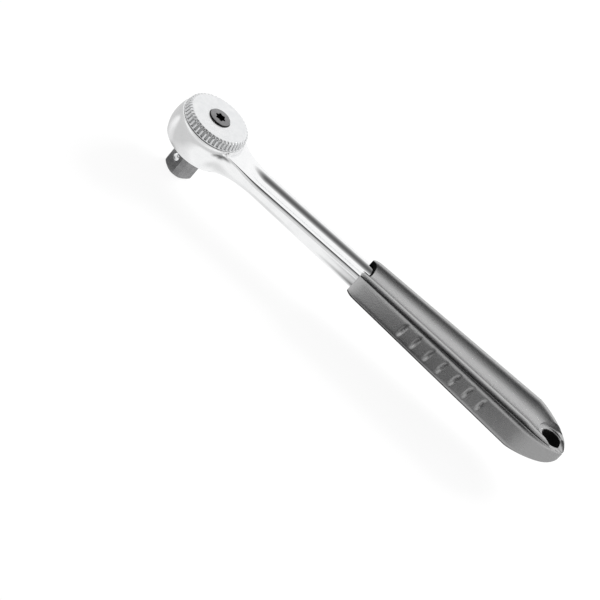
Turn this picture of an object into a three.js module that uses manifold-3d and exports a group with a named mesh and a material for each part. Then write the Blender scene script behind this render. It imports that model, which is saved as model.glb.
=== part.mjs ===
// Socket ratchet, half inch drive: round head with a reversing dial, forged shank, moulded grip.
// Millimetres, +Z up, +X along the handle. The origin is the middle of the drive square's end face.
import * as THREE from 'three';
import { mergeVertices } from 'three/addons/utils/BufferGeometryUtils.js';
import Module from 'manifold-3d';

// Drive square and its ball
const driveSquare = 12.7;
const driveCornerFlat = 2.5;
const driveLength = 16;
const driveTurn = 8;
const driveEndRadius = 4.4;
const driveEndRound = 1.9;
const ballRadius = 2.4;
const ballHeight = 8;
const ballHold = 0.2;
const ballLip = 0.2;
const ballSpringRadius = 1.5;
const ballSpringLength = 4.4;
const ballSpringWire = 0.22;
const ballSpringCurls = 4;

// Heights of the head, stacked upwards from the drive square
const collarReveal = 1.7;
const headFloor = 3;
const thrustWasherThickness = 0.8;
const lowerFlange = 1.6;
const pawlHeight = 4.6;
const upperFlange = 1.7;
const coverThickness = 1;
const ringThickness = 1;
const rimAboveRing = 0.8;
const dialLift = 0.2;

// Radii of the head, stacked outwards from the drive axis
const screwThreadRadius = 2.4;
const screwShoulderStep = 0.5;
const hubWall = 4.3;
const plungerReach = 1.05;
const pawlBack = 2.2;
const pawlReach = 3.15;
const toothDepth = 1.1;
const headWall = 4;
const collarRadius = 9.3;
const carrierInset = 0.35;

// Ratchet teeth, pawls and plungers
const toothCount = 36;
const toothLand = 0.2;
const pawlRock = 7.5;
const dialTravel = 30;
const pawlHalfLength = 7.3;
const pawlBackHalf = 4.4;
const pawlHeel = 1.5;
const pawlWaist = 3.2;
const pawlNotch = 0.4;
const pawlEndRoom = 0.6;
const pawlPinRadius = 1.15;
const pawlPinCover = 0.4;
const plungerRadius = 1.7;
const plungerPocket = 2.05;
const plungerWall = 0.55;
const plungerStroke = 0.75;
const plungerSpringWire = 0.16;
const plungerSpringCurls = 3;
const hubFloor = 0.6;
const stopLugAngle = 40;
const stopLugHeight = 1.5;
const stopLugWall = 2.8;
const stopEndAngle = 1;

// Cover, retaining ring, seal and washers
const coverLedge = 1.15;
const ringGroove = 0.5;
const ringWidth = 1.9;
const ringGapAngle = 34;
const ringEarRadius = 1.5;
const ringEarHole = 0.6;
const washerInset = 0.25;
const sealSection = 0.7;

// Head casting outside
const headBelly = 7.7;
const headBottomDraft = 1.5;
const headBottomEdge = 0.7;
const rimWidth = 1.3;
const rimDrop = 1.5;

// Reversing dial and its screw
const dialThickness = 4.3;
const dialSetIn = 1.45;
const knurlCount = 48;
const knurlDepth = 0.45;
const knurlTaper = 1.1;
const knurlFoot = 0.35;
const dialChamfer = 1.35;
const dialChamferHeight = 1;
const screwHeadRadius = 5.5;
const screwHeadHeight = 3.1;
const screwProud = 0.8;
const screwHeadChamfer = 0.3;
const screwEngagement = 8;
const screwEndRoom = 0.5;
const lobeCount = 6;
const lobeRadius = 2.45;
const lobeDepth = 2.2;
const lobeSwell = 0.35;
const springWasherThickness = 0.4;
const springWasherDish = 0.3;

// Neck and shank
const neckSink = 5.85;
const neckLength = 23;
const neckRootHalfWidth = 12.5;
const neckTopDrop = 1;
const neckBottomRise = 0.9;
const neckWidthPower = 3;
const neckTopPower = 2.5;
const neckBottomPower = 2;
const shankHalfWidth = 8;
const shankHalfThickness = 3.45;
const shankFlare = 0.9;
const shankEdge = 0.7;
const shankLength = 63.1;
const handleDrop = 0.5;
const channelSetBack = 9.1;
const channelRunOut = 14;
const channelDepth = 1.6;
const channelHalfWidth = 5.4;
const channelFloorHalf = 3;

// Grip sleeve
const gripBarrel = 104;
const gripTail = 24.3;
const gripLift = 0.3;
const gripFrontHalfWidth = 10;
const gripFrontHalfThickness = 7.2;
const gripFrontRidge = 7.6;
const gripRearHalfWidth = 14.8;
const gripRearHalfThickness = 9.1;
const gripRearRidge = 10.4;
const gripFrontTrough = 2;
const gripRearTrough = 3;
const gripRidgeFlat = 0.5;
const gripRidgeRound = 0.1;
const creaseOut = 2.1;
const creaseDown = 2.1;
const creaseDepth = 0.6;
const creaseUndercut = 0.2;
const panelRound = 2.6;
const tailOutlinePower = 1.7;
const tailOutlineRoot = 0.55;
const tailThinning = 0.5;
const tailThinningPower = 1.2;
const tailTipThinning = 0.6;
const tailTipPower = 12;
const mouthSetBack = 5;
const mouthSlope = 3;
const mouthEdge = 1.2;
const hangHoleRadius = 5.4;
const hangHoleWall = 3.7;
const ribCount = 7;
const ribPitch = 8.5;
const ribStart = 32;
const ribRadius = 2;
const ribDepth = 0.55;
const ribLength = 9;
const ribLean = 5;

// Clearances
const runningClearance = 0.08;
const axialClearance = 0.1;
const pinClearance = 0.06;
const toothClearance = 0.12;
const sleeveClearance = 0.25;
const overcut = 1;

// Facets round a full turn
const headFacets = 60;
const roundFacets = 36;
const smallFacets = 16;

// Places worked out from the sizes above
const squareTop = driveLength;
const headBottom = squareTop + collarReveal;
const floorTop = headBottom + headFloor;
const sealMiddle = headBottom + headFloor / 2;
const washerBottom = floorTop + axialClearance;
const carrierBottom = washerBottom + thrustWasherThickness + axialClearance;
const slotBottom = carrierBottom + lowerFlange;
const pawlBottom = slotBottom + axialClearance;
const slotTop = pawlBottom + pawlHeight + axialClearance;
const pawlMiddle = pawlBottom + pawlHeight / 2;
const carrierTop = slotTop + upperFlange;
const coverBottom = carrierTop + axialClearance;
const coverTop = coverBottom + coverThickness;
const ringBottom = coverTop + axialClearance;
const ringTop = ringBottom + ringThickness;
const headTop = ringTop + axialClearance + rimAboveRing;
const dialBottom = headTop + dialLift;
const dialTop = dialBottom + dialThickness;
const hubBottom = slotBottom + axialClearance;
const hubBoreBottom = hubBottom - axialClearance;
const screwHeadTop = dialTop + screwProud;
const screwHeadBottom = screwHeadTop - screwHeadHeight;
const counterboreFloor = screwHeadBottom - springWasherThickness - springWasherDish - 2 * axialClearance;

const screwShoulderRadius = screwThreadRadius + screwShoulderStep;
const hubBoreRadius = screwShoulderRadius + runningClearance;
const hubRadius = hubBoreRadius + hubWall;
const pawlBackRadius = hubRadius + plungerReach;
const pawlPivotRadius = pawlBackRadius + pawlBack;
const toothTipRadius = pawlPivotRadius + pawlReach;
const toothRootRadius = toothTipRadius + toothDepth;
const headRadius = toothRootRadius + headWall;
const carrierRadius = toothTipRadius - carrierInset;
const coverSeatRadius = toothRootRadius + coverLedge;
const ringGrooveRadius = coverSeatRadius + ringGroove;
const dialRadius = headRadius - dialSetIn;
const knurlTopRadius = dialRadius - knurlTaper;
const dialFaceRadius = knurlTopRadius - dialChamfer;
const slotHalfWidth = pawlHalfLength + pawlEndRoom;
const pawlAngle = driveTurn + 90;
const ballAngle = driveTurn - 135;
const dialAngle = pawlAngle - dialTravel / 2;

const neckRoot = headRadius - neckSink;
const neckEnd = neckRoot + neckLength;
const channelStart = neckRoot + channelSetBack;
const handleHeight = (headBottom + headTop) / 2 - handleDrop;
const gripStart = neckEnd + shankLength;
const gripMiddle = handleHeight + gripLift;
const tailStart = gripStart + gripBarrel;
const gripEnd = tailStart + gripTail;
const tangEnd = tailStart;
const hangHoleX = gripEnd - hangHoleWall - hangHoleRadius;

const radians = THREE.MathUtils.degToRad;
const lerp = THREE.MathUtils.lerp;
const clamp01 = (value) => THREE.MathUtils.clamp(value, 0, 1);

// Solid modelling helpers
const wasm = await Module();
wasm.setup();

function signedVolume(geometry) {
  const place = geometry.attributes.position;
  const corner = (i) => new THREE.Vector3().fromBufferAttribute(place, geometry.index.getX(i));
  let sum = 0;
  for (let i = 0; i < geometry.index.count; i += 3) {
    sum += corner(i).dot(corner(i + 1).cross(corner(i + 2)));
  }
  return sum / 6;
}

// A closed shape as a solid that can be joined and cut
function solid(geometry) {
  const bare = geometry.clone();
  bare.deleteAttribute('normal');
  bare.deleteAttribute('uv');
  const merged = mergeVertices(bare, 1e-4);
  const triVerts = new Uint32Array(merged.index.array);
  if (signedVolume(merged) < 0) {
    triVerts.reverse();
  }
  const vertProperties = new Float32Array(merged.attributes.position.array);
  return new wasm.Manifold(new wasm.Mesh({ numProp: 3, vertProperties, triVerts }));
}

function surface(body) {
  const mesh = body.getMesh();
  const geometry = new THREE.BufferGeometry();
  geometry.setAttribute('position', new THREE.Float32BufferAttribute(mesh.vertProperties, 3));
  geometry.setIndex(new THREE.Uint32BufferAttribute(mesh.triVerts, 1));
  return geometry;
}

// A profile of radius and height pairs turned about Z
function turned(profile, segments = roundFacets) {
  const points = profile.map(([radius, height]) => new THREE.Vector2(radius, height));
  return new THREE.LatheGeometry(points, segments).rotateX(Math.PI / 2);
}

function disc(radius, bottom, top, segments = roundFacets) {
  return solid(turned([[0, bottom], [radius, bottom], [radius, top], [0, top]], segments));
}

function ring(inner, outer, bottom, top) {
  const profile = [[inner, bottom], [outer, bottom], [outer, top], [inner, top], [inner, bottom]];
  return solid(turned(profile));
}

function prism(shape, bottom, top, curveSegments = 12) {
  const settings = { depth: top - bottom, bevelEnabled: false, curveSegments };
  const geometry = new THREE.ExtrudeGeometry(shape, settings);
  return solid(geometry.translate(0, 0, bottom));
}

function outline(points) {
  return new THREE.Shape(points.map(([x, y]) => new THREE.Vector2(x, y)));
}

// A skin through rings of points, closed by a flat cap at each end
function loft(rings) {
  const count = rings[0].length;
  const positions = rings.flat(2);
  const index = [];
  for (let k = 0; k + 1 < rings.length; k += 1) {
    for (let i = 0; i < count; i += 1) {
      const a = k * count + i;
      const b = k * count + (i + 1) % count;
      index.push(a, b, b + count, a, b + count, a + count);
    }
  }
  const cap = (points, start, flip) => {
    const flat = points.map((p) => flatten(points, p));
    for (const [a, b, c] of THREE.ShapeUtils.triangulateShape(flat, [])) {
      index.push(start + a, start + (flip ? c : b), start + (flip ? b : c));
    }
  };
  const first = windingOf(rings[0]);
  cap(rings[0], 0, first);
  cap(rings[rings.length - 1], (rings.length - 1) * count, !first);
  const geometry = new THREE.BufferGeometry();
  geometry.setAttribute('position', new THREE.Float32BufferAttribute(positions, 3));
  geometry.setIndex(index);
  return solid(geometry);
}

// A ring of points seen in its own plane, along Z for a level ring and along X otherwise
function flatten(points, [x, y, z]) {
  const level = points.every((p) => Math.abs(p[2] - points[0][2]) < 1e-6);
  return level ? new THREE.Vector2(x, y) : new THREE.Vector2(y, z);
}

function windingOf(points) {
  return THREE.ShapeUtils.area(points.map((p) => flatten(points, p))) > 0;
}

function turnedAbout(body, degrees) {
  return body.rotate([0, 0, degrees]);
}

// A spring of round wire wound about Z, as one unbroken tube with square ends
const springSteps = 8;
const springSides = 5;

function spring(name, coilRadius, wire, length, curls) {
  const steps = springSteps * curls;
  const middles = [];
  const rings = [];
  for (let k = 0; k <= steps; k += 1) {
    const turn = (2 * Math.PI * k) / springSteps;
    const out = new THREE.Vector3(Math.cos(turn), Math.sin(turn), 0);
    const middle = out.clone().multiplyScalar(coilRadius).setZ((length * k) / steps);
    const along = new THREE.Vector3(-out.y, out.x, length / (2 * Math.PI * curls * coilRadius)).normalize();
    const side = new THREE.Vector3().crossVectors(along, out);
    const corners = [];
    for (let i = 0; i < springSides; i += 1) {
      const angle = (2 * Math.PI * i) / springSides;
      const corner = middle.clone().addScaledVector(out, wire * Math.cos(angle));
      corners.push(corner.addScaledVector(side, wire * Math.sin(angle)).toArray());
    }
    middles.push(middle);
    rings.push(corners);
  }
  let least = Infinity;
  for (let a = 0; a < middles.length; a += 1) {
    for (let b = a + springSteps - 1; b < middles.length; b += 1) {
      least = Math.min(least, middles[a].distanceTo(middles[b]) - 2 * wire);
    }
  }
  console.log(`${name}: least gap between curls ${least.toFixed(2)} mm`);
  return tube(rings);
}

function tube(rings) {
  const positions = rings.flat(2);
  const index = [];
  const last = (rings.length - 1) * springSides;
  for (let k = 0; k + 1 < rings.length; k += 1) {
    for (let i = 0; i < springSides; i += 1) {
      const a = k * springSides + i;
      const b = k * springSides + (i + 1) % springSides;
      index.push(a, b, b + springSides, a, b + springSides, a + springSides);
    }
  }
  for (let i = 1; i + 1 < springSides; i += 1) {
    index.push(0, i + 1, i, last, last + i, last + i + 1);
  }
  const geometry = new THREE.BufferGeometry();
  geometry.setAttribute('position', new THREE.Float32BufferAttribute(positions, 3));
  geometry.setIndex(index);
  return solid(geometry);
}

// Turns a body made along +Z so that it points level along an angle, at a height
function pointed(body, degrees, height) {
  return body.rotate([0, 90, 0]).rotate([0, 0, degrees]).translate([0, 0, height]);
}

// Ratchet ring: the hollow between the teeth, with a tooth space on the pawl's centre line
function toothSpace(shrink, bottom, top) {
  const pitch = 360 / toothCount;
  const land = (toothLand * pitch) / 2;
  const points = [];
  for (let i = 0; i < toothCount; i += 1) {
    const middle = pawlAngle + i * pitch;
    const corners = [
      [toothRootRadius, middle - land],
      [toothRootRadius, middle + land],
      [toothTipRadius, middle + pitch / 2 - land],
      [toothTipRadius, middle + pitch / 2 + land],
    ];
    for (const [radius, angle] of corners) {
      const reach = radius - shrink;
      points.push([reach * Math.cos(radians(angle)), reach * Math.sin(radians(angle))]);
    }
  }
  return prism(outline(points), bottom, top);
}

// Head casting, neck, shank and tang, forged as one piece
function headBlank() {
  const steps = 5;
  const bowl = [];
  const foot = headBottom + headBottomEdge;
  const belly = headTop - headBelly;
  for (let i = 0; i <= steps; i += 1) {
    const rise = i / steps;
    const draw = headBottomDraft * (1 - rise) ** 2;
    bowl.push([headRadius - draw, lerp(foot, belly, rise)]);
  }
  const rim = [];
  const rimSteps = 3;
  for (let i = 0; i <= rimSteps; i += 1) {
    const angle = radians((90 * i) / rimSteps);
    rim.push([headRadius - rimWidth * (1 - Math.cos(angle)), headTop - rimDrop * (1 - Math.sin(angle))]);
  }
  return solid(turned([
    [0, headBottom],
    [headRadius - headBottomDraft - headBottomEdge, headBottom],
    ...bowl,
    ...rim,
    [0, headTop],
  ], headFacets));
}

// Half sizes of the neck and shank at a distance along the handle
function shankSizes(x) {
  const near = 1 - clamp01((x - neckRoot) / neckLength);
  const flare = shankFlare * clamp01((x - neckEnd) / (gripStart - neckEnd));
  const waist = shankHalfThickness + flare;
  const rootTop = headTop - neckTopDrop - handleHeight;
  const rootBottom = handleHeight - headBottom - neckBottomRise;
  const begun = clamp01((x - channelStart) / channelRunOut);
  return {
    halfWidth: lerp(shankHalfWidth, neckRootHalfWidth, near ** neckWidthPower),
    top: lerp(waist, rootTop, near ** neckTopPower),
    bottom: lerp(waist, rootBottom, near ** neckBottomPower),
    depth: channelDepth * begun * begun * (3 - 2 * begun),
  };
}

// Cross section of the shank, with a channel along its top and bottom, grown by a clearance
function shankRing(x, grow) {
  const { halfWidth, top, bottom, depth } = shankSizes(x);
  const wide = halfWidth + grow;
  const wall = [0, 2 / 3, 1];
  const half = (height) => [
    ...wall.map((t) => [
      lerp(channelFloorHalf, channelHalfWidth, t) - grow,
      height - depth * (1 - t * t) + grow,
    ]),
    [wide - shankEdge, height + grow],
    [wide, height + grow - shankEdge],
  ];
  const upper = half(top);
  const lower = half(bottom).map(([y, z]) => [y, -z]);
  const mirrored = (points) => points.map(([y, z]) => [-y, z]);
  const loop = [
    ...upper,
    ...lower.slice().reverse(),
    ...mirrored(lower),
    ...mirrored(upper).reverse(),
  ];
  return loop.map(([y, z]) => [x, y, handleHeight + z]);
}

function shankBar(from, to, grow) {
  const inNeck = [];
  const neckSteps = 12;
  for (let i = 0; i <= neckSteps; i += 1) {
    inNeck.push(lerp(neckRoot, neckEnd, i / neckSteps));
  }
  const stations = [from, ...inNeck.filter((x) => x > from && x < to), gripStart, to];
  const kept = stations.filter((x, i) => x >= from && stations.indexOf(x) === i);
  return loft(kept.map((x) => shankRing(x, grow)));
}

function ratchetBody() {
  const blank = headBlank().add(shankBar(neckRoot - neckSink, tangEnd, 0));
  const bore = disc(collarRadius + runningClearance, headBottom - overcut, floorTop + overcut);
  const seat = disc(coverSeatRadius, coverBottom - axialClearance, headTop + overcut);
  const groove = disc(ringGrooveRadius, ringBottom - axialClearance, ringTop + axialClearance);
  return blank
    .subtract(toothSpace(0, floorTop, coverBottom))
    .subtract(bore)
    .subtract(seat)
    .subtract(groove);
}

// Drive spindle: pawl carrier, journal and square in one piece
function squareBlank() {
  const half = driveSquare / 2;
  const cut = half - driveCornerFlat / Math.SQRT2;
  const corners = [
    [half, -cut], [half, cut], [cut, half], [-cut, half],
    [-half, cut], [-half, -cut], [-cut, -half], [cut, -half],
  ];
  const bar = prism(outline(corners), 0, squareTop + overcut);
  const across = Math.hypot(half, cut) + pinClearance;
  const top = squareTop + 2 * overcut;
  const steps = 5;
  const nose = [];
  for (let i = 0; i <= steps; i += 1) {
    const angle = radians((90 * i) / steps);
    const radius = driveEndRadius + (across - driveEndRadius) * Math.sin(angle);
    nose.push([radius, driveEndRound * (1 - Math.cos(angle))]);
  }
  const envelope = solid(turned([[0, 0], ...nose, [across, top], [0, top]]));
  return turnedAbout(bar, driveTurn + 45).intersect(envelope);
}

// A pair of opposite sectors: the stop lugs, or with a clearance the recess that they swing in
function stopSector(halfAngle, bottom, top, grow) {
  const outer = hubRadius + grow;
  const inner = hubRadius - stopLugWall - grow;
  const shape = new THREE.Shape();
  shape.absarc(0, 0, outer, radians(-halfAngle), radians(halfAngle), false);
  shape.absarc(0, 0, inner, radians(halfAngle), radians(-halfAngle), true);
  const sector = prism(shape, bottom, top, 8);
  return sector.add(turnedAbout(sector, 180));
}

const ballMouthRadius = ballRadius - ballHold;
const ballDepth = ballLip + Math.sqrt((ballRadius + pinClearance) ** 2 - ballMouthRadius ** 2);
const ballCentre = driveSquare / 2 - ballDepth;
const ballSpringTop = ballCentre
  - Math.sqrt((ballRadius + ballSpringWire + axialClearance) ** 2 - ballSpringRadius ** 2);
const ballBoreEnd = ballSpringTop - ballSpringLength - ballSpringWire - axialClearance;

function ballBore() {
  const bore = disc(ballRadius + pinClearance, ballBoreEnd, driveSquare / 2 - ballLip, smallFacets);
  const mouth = disc(ballMouthRadius, ballCentre, driveSquare / 2 + overcut, smallFacets);
  return pointed(bore.add(mouth), ballAngle, ballHeight);
}

function driveSpindle() {
  const carrier = disc(carrierRadius, carrierBottom, carrierTop);
  const journal = disc(collarRadius, squareTop, carrierBottom + overcut);
  const slot = solid(new THREE.BoxGeometry(2 * slotHalfWidth, 4 * carrierRadius, slotTop - slotBottom)
    .translate(0, 0, (slotTop + slotBottom) / 2));
  const recessAngle = (stopLugAngle + dialTravel) / 2 + stopEndAngle;
  const recessBottom = hubBottom - stopLugHeight - axialClearance;
  const recess = stopSector(recessAngle, recessBottom, hubBottom + overcut, runningClearance);
  const sealGroove = ring(
    collarRadius - 2 * sealSection,
    collarRadius + overcut,
    sealMiddle - sealSection - axialClearance,
    sealMiddle + sealSection + axialClearance,
  );
  const threadEnd = hubBottom - screwEngagement - screwEndRoom;
  let spindle = carrier
    .add(journal)
    .add(squareBlank())
    .subtract(disc(hubRadius + runningClearance, hubBoreBottom, carrierTop + overcut))
    .subtract(disc(screwThreadRadius + runningClearance, threadEnd, hubBottom + overcut, smallFacets))
    .subtract(turnedAbout(slot, pawlAngle - 90))
    .subtract(turnedAbout(recess, pawlAngle))
    .subtract(sealGroove)
    .subtract(ballBore());
  for (const side of [0, 180]) {
    spindle = spindle.subtract(pawlPin(side, pinClearance, axialClearance));
  }
  return spindle;
}

function pawlPin(side, grow, longer) {
  const bottom = carrierBottom + pawlPinCover;
  const top = carrierTop - pawlPinCover;
  const pin = disc(pawlPinRadius + grow, bottom - longer, top + longer, smallFacets);
  return turnedAbout(pin.translate([pawlPivotRadius, 0, 0]), pawlAngle + side);
}

// Double ended pawl, cut by the tooth spaces at every step of its rock so that it never fouls them
function pawl(side) {
  const waistHeight = Math.sqrt(carrierRadius ** 2 - pawlWaist ** 2) - pawlPivotRadius
    - pawlWaist * Math.sin(radians(pawlRock));
  const tip = pawlReach + toothDepth;
  const half = [
    [pawlBackHalf, -pawlBack],
    [pawlHalfLength, -pawlBack + pawlHeel],
    [pawlHalfLength, tip],
    [pawlWaist + pawlNotch, tip],
    [pawlWaist, waistHeight],
  ];
  const mirrored = half.map(([x, y]) => [-x, y]).reverse();
  let body = prism(outline([...half, ...mirrored]), pawlBottom, pawlBottom + pawlHeight);
  const teeth = turnedAbout(toothSpace(toothClearance, slotBottom, slotTop), 90 - pawlAngle - side)
    .translate([0, -pawlPivotRadius, 0]);
  const steps = 6;
  for (let i = 0; i <= steps; i += 1) {
    body = body.intersect(turnedAbout(teeth, lerp(-pawlRock, pawlRock, i / steps)));
  }
  const hole = disc(pawlPinRadius + pinClearance, slotBottom, slotTop, smallFacets);
  return turnedAbout(
    turnedAbout(body.subtract(hole), pawlRock).translate([0, pawlPivotRadius, 0]),
    pawlAngle - 90 + side,
  );
}

// Plunger: a round nosed cup that slides in the dial's hub and pushes the back of a pawl
const plungerTip = pawlBackRadius - runningClearance;
const plungerCentre = plungerTip - plungerRadius;
const plungerHoleEnd = hubBoreRadius + hubFloor;
const plungerEnd = plungerHoleEnd + plungerStroke;
const plungerPocketRadius = plungerRadius - plungerWall;

function plunger(side) {
  const steps = 4;
  const nose = [];
  for (let i = 0; i < steps; i += 1) {
    const angle = radians((90 * i) / steps);
    nose.push([plungerRadius * Math.cos(angle), plungerCentre + plungerRadius * Math.sin(angle)]);
  }
  const pocketEnd = plungerEnd + plungerPocket;
  const cup = solid(turned([
    [0, pocketEnd],
    [plungerPocketRadius, pocketEnd],
    [plungerPocketRadius, plungerEnd],
    [plungerRadius, plungerEnd],
    ...nose,
    [0, plungerTip],
  ], smallFacets));
  return pointed(cup, dialAngle + side, pawlMiddle);
}

function plungerSpring(side, name) {
  const low = plungerHoleEnd + plungerSpringWire + axialClearance;
  const high = plungerEnd + plungerPocket - plungerSpringWire - axialClearance;
  const coil = spring(name, plungerPocketRadius - 2 * plungerSpringWire, plungerSpringWire, high - low,
    plungerSpringCurls);
  return pointed(coil.translate([0, 0, low]), dialAngle + side, pawlMiddle);
}

// Reversing dial: knurled cone with a hub that carries the plungers and the stop lugs
function dialBlank() {
  const points = 2 * knurlCount;
  const level = (radius, height, depth) => {
    const corners = [];
    for (let i = 0; i < points; i += 1) {
      const angle = (2 * Math.PI * i) / points;
      const reach = radius - (i % 2) * depth;
      corners.push([reach * Math.cos(angle), reach * Math.sin(angle), height]);
    }
    return corners;
  };
  const knurlTop = dialTop - dialChamferHeight;
  return loft([
    level(dialRadius - knurlDepth, dialBottom, 0),
    level(dialRadius - knurlDepth, dialBottom + knurlFoot / 2, 0),
    level(dialRadius, dialBottom + knurlFoot, knurlDepth),
    level(knurlTopRadius, knurlTop - knurlFoot / 2, knurlDepth),
    level(knurlTopRadius - knurlDepth, knurlTop, 0),
    level(dialFaceRadius, dialTop, 0),
  ]);
}

function reversingDial() {
  const hub = disc(hubRadius, hubBottom, dialBottom + overcut);
  const lugs = stopSector(stopLugAngle / 2, hubBottom - stopLugHeight, hubBottom + overcut, 0);
  const counterbore = disc(screwHeadRadius + axialClearance, counterboreFloor, dialTop + overcut);
  let dial = dialBlank()
    .add(hub)
    .add(turnedAbout(lugs, dialAngle))
    .subtract(disc(hubBoreRadius, hubBottom - stopLugHeight - overcut, dialTop))
    .subtract(counterbore);
  for (const side of [0, 180]) {
    const hole = disc(plungerRadius + pinClearance, plungerHoleEnd, hubRadius + overcut, smallFacets);
    dial = dial.subtract(pointed(hole, dialAngle + side, pawlMiddle));
  }
  return dial;
}

// Shoulder screw with a six lobed recess
function dialScrew() {
  const shoulderEnd = hubBoreBottom + axialClearance;
  const body = solid(turned([
    [0, hubBottom - screwEngagement],
    [screwThreadRadius, hubBottom - screwEngagement],
    [screwThreadRadius, shoulderEnd],
    [screwShoulderRadius, shoulderEnd],
    [screwShoulderRadius, screwHeadBottom],
    [screwHeadRadius, screwHeadBottom],
    [screwHeadRadius, screwHeadTop - screwHeadChamfer],
    [screwHeadRadius - screwHeadChamfer, screwHeadTop],
    [0, screwHeadTop],
  ]));
  const lobes = [];
  const points = 6 * lobeCount;
  for (let i = 0; i < points; i += 1) {
    const angle = (2 * Math.PI * i) / points;
    const reach = lobeRadius + lobeSwell * Math.cos(lobeCount * angle);
    lobes.push([reach * Math.cos(angle), reach * Math.sin(angle)]);
  }
  return body.subtract(prism(outline(lobes), screwHeadTop - lobeDepth, screwHeadTop + overcut));
}

function springWasher() {
  const inner = hubBoreRadius + axialClearance;
  const outer = screwHeadRadius - axialClearance;
  const low = counterboreFloor + axialClearance;
  const high = low + springWasherDish;
  return solid(turned([
    [inner, high],
    [outer, low],
    [outer, low + springWasherThickness],
    [inner, high + springWasherThickness],
    [inner, high],
  ]));
}

function coverPlate() {
  return ring(hubRadius + axialClearance, coverSeatRadius - axialClearance, coverBottom, coverTop);
}

// Retaining ring: an open spring ring with a drilled ear at each end
function retainingRing() {
  const outer = ringGrooveRadius - axialClearance;
  const inner = outer - ringWidth;
  const half = ringGapAngle / 2;
  const shape = new THREE.Shape();
  shape.absarc(0, 0, outer, radians(half), radians(360 - half), false);
  shape.absarc(0, 0, inner, radians(360 - half), radians(half), true);
  let body = prism(shape, ringBottom, ringTop, 30);
  for (const end of [half, -half]) {
    const place = [inner * Math.cos(radians(end)), inner * Math.sin(radians(end)), 0];
    body = body
      .add(disc(ringEarRadius, ringBottom, ringTop, smallFacets).translate(place))
      .subtract(disc(ringEarHole, ringBottom - overcut, ringTop + overcut, smallFacets / 2).translate(place));
  }
  return body;
}

function thrustWasher() {
  const inner = collarRadius + 2 * axialClearance;
  return ring(inner, carrierRadius - washerInset, washerBottom, washerBottom + thrustWasherThickness);
}

function spindleSeal() {
  const middle = collarRadius + runningClearance / 4 - sealSection;
  const sides = 8;
  const profile = [];
  for (let i = 0; i <= sides; i += 1) {
    const angle = (2 * Math.PI * (i % sides)) / sides;
    profile.push([middle + sealSection * Math.cos(angle), sealMiddle + sealSection * Math.sin(angle)]);
  }
  return solid(turned(profile));
}

function driveBall() {
  const ball = solid(new THREE.SphereGeometry(ballRadius, smallFacets, smallFacets / 2).rotateX(Math.PI / 2));
  return pointed(ball.translate([0, 0, ballCentre]), ballAngle, ballHeight);
}

function ballSpring() {
  const coil = spring('ball_spring', ballSpringRadius, ballSpringWire, ballSpringLength, ballSpringCurls);
  return pointed(coil.translate([0, 0, ballSpringTop - ballSpringLength]), ballAngle, ballHeight);
}

// Half sizes of the grip at a distance along the handle
function gripSizes(x) {
  const along = clamp01((x - gripStart) / gripBarrel);
  const tail = clamp01((x - tailStart) / gripTail);
  const narrow = (1 - tail ** tailOutlinePower) ** tailOutlineRoot;
  const thin = (1 - tailThinning * tail ** tailThinningPower) * (1 - tailTipThinning * tail ** tailTipPower);
  const thickness = lerp(gripFrontHalfThickness, gripRearHalfThickness, along) * thin;
  return {
    halfWidth: lerp(gripFrontHalfWidth, gripRearHalfWidth, along) * narrow,
    ridge: lerp(gripFrontRidge, gripRearRidge, along) * narrow,
    thickness,
    trough: lerp(gripFrontTrough, gripRearTrough, along) * thin,
    narrow,
    thin,
    crease: creaseDepth * (1 - tail),
  };
}

// Cross section of the grip: troughs above and below, ridges, creases and bulged side panels
function gripRing(x) {
  const size = gripSizes(x);
  const floor = size.thickness - size.trough;
  const creaseY = size.ridge + creaseOut * size.narrow;
  const creaseZ = size.thickness - creaseDown * size.thin;
  const panelTop = creaseZ - size.crease;
  const round = panelRound * size.thin;
  const quarter = [
    ...[1 / 3, 2 / 3].map((t) => [t * size.ridge, floor + size.trough * t * t]),
    [size.ridge - gripRidgeFlat * size.narrow, size.thickness - gripRidgeRound * size.thin],
    [size.ridge, size.thickness],
    [creaseY, creaseZ],
    [creaseY - creaseUndercut * size.narrow, panelTop],
    [lerp(creaseY, size.halfWidth, Math.SQRT1_2), panelTop - round * (1 - Math.SQRT1_2)],
    [size.halfWidth, panelTop - round],
  ];
  const flip = (points, y, z) => points.map((p) => [p[0] * y, p[1] * z]);
  const loop = [
    [0, floor],
    ...quarter,
    ...flip(quarter, 1, -1).reverse(),
    [0, -floor],
    ...flip(quarter, -1, -1),
    ...flip(quarter, -1, 1).reverse(),
  ];
  return loop.map(([y, z]) => [x, y, gripMiddle + z]);
}

function gripBlank() {
  const barrelSteps = 8;
  const tailSteps = 10;
  const stations = [];
  for (let i = 0; i <= barrelSteps; i += 1) {
    stations.push(lerp(gripStart, tailStart, i / barrelSteps));
  }
  for (let i = 1; i < tailSteps; i += 1) {
    stations.push(lerp(tailStart, gripEnd, Math.sin((Math.PI * i) / (2 * tailSteps))));
  }
  return loft(stations.map((x) => gripRing(x)));
}

// The trough floor is cut back at the mouth, on a slope, above and below the shank
function mouthCut(upward) {
  const { thickness, ridge } = gripSizes(gripStart);
  const low = shankSizes(gripStart).top - channelDepth;
  const back = gripStart + mouthSetBack;
  const wedge = outline([
    [gripStart - overcut, low],
    [back - mouthSlope, low],
    [back, thickness],
    [gripStart - overcut, thickness],
  ]);
  const wide = 2 * (ridge - mouthEdge);
  const cut = prism(wedge, -wide / 2, wide / 2).rotate([90, 0, 0]);
  return cut.scale([1, 1, upward]).translate([0, 0, gripMiddle]);
}

function ribGroove(index, side) {
  const x = gripStart + ribStart + index * ribPitch;
  const away = gripSizes(x).halfWidth + ribRadius - ribDepth;
  return disc(ribRadius, -ribLength / 2, ribLength / 2, smallFacets)
    .rotate([0, ribLean, 0])
    .translate([x, side * away, gripMiddle]);
}

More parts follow.
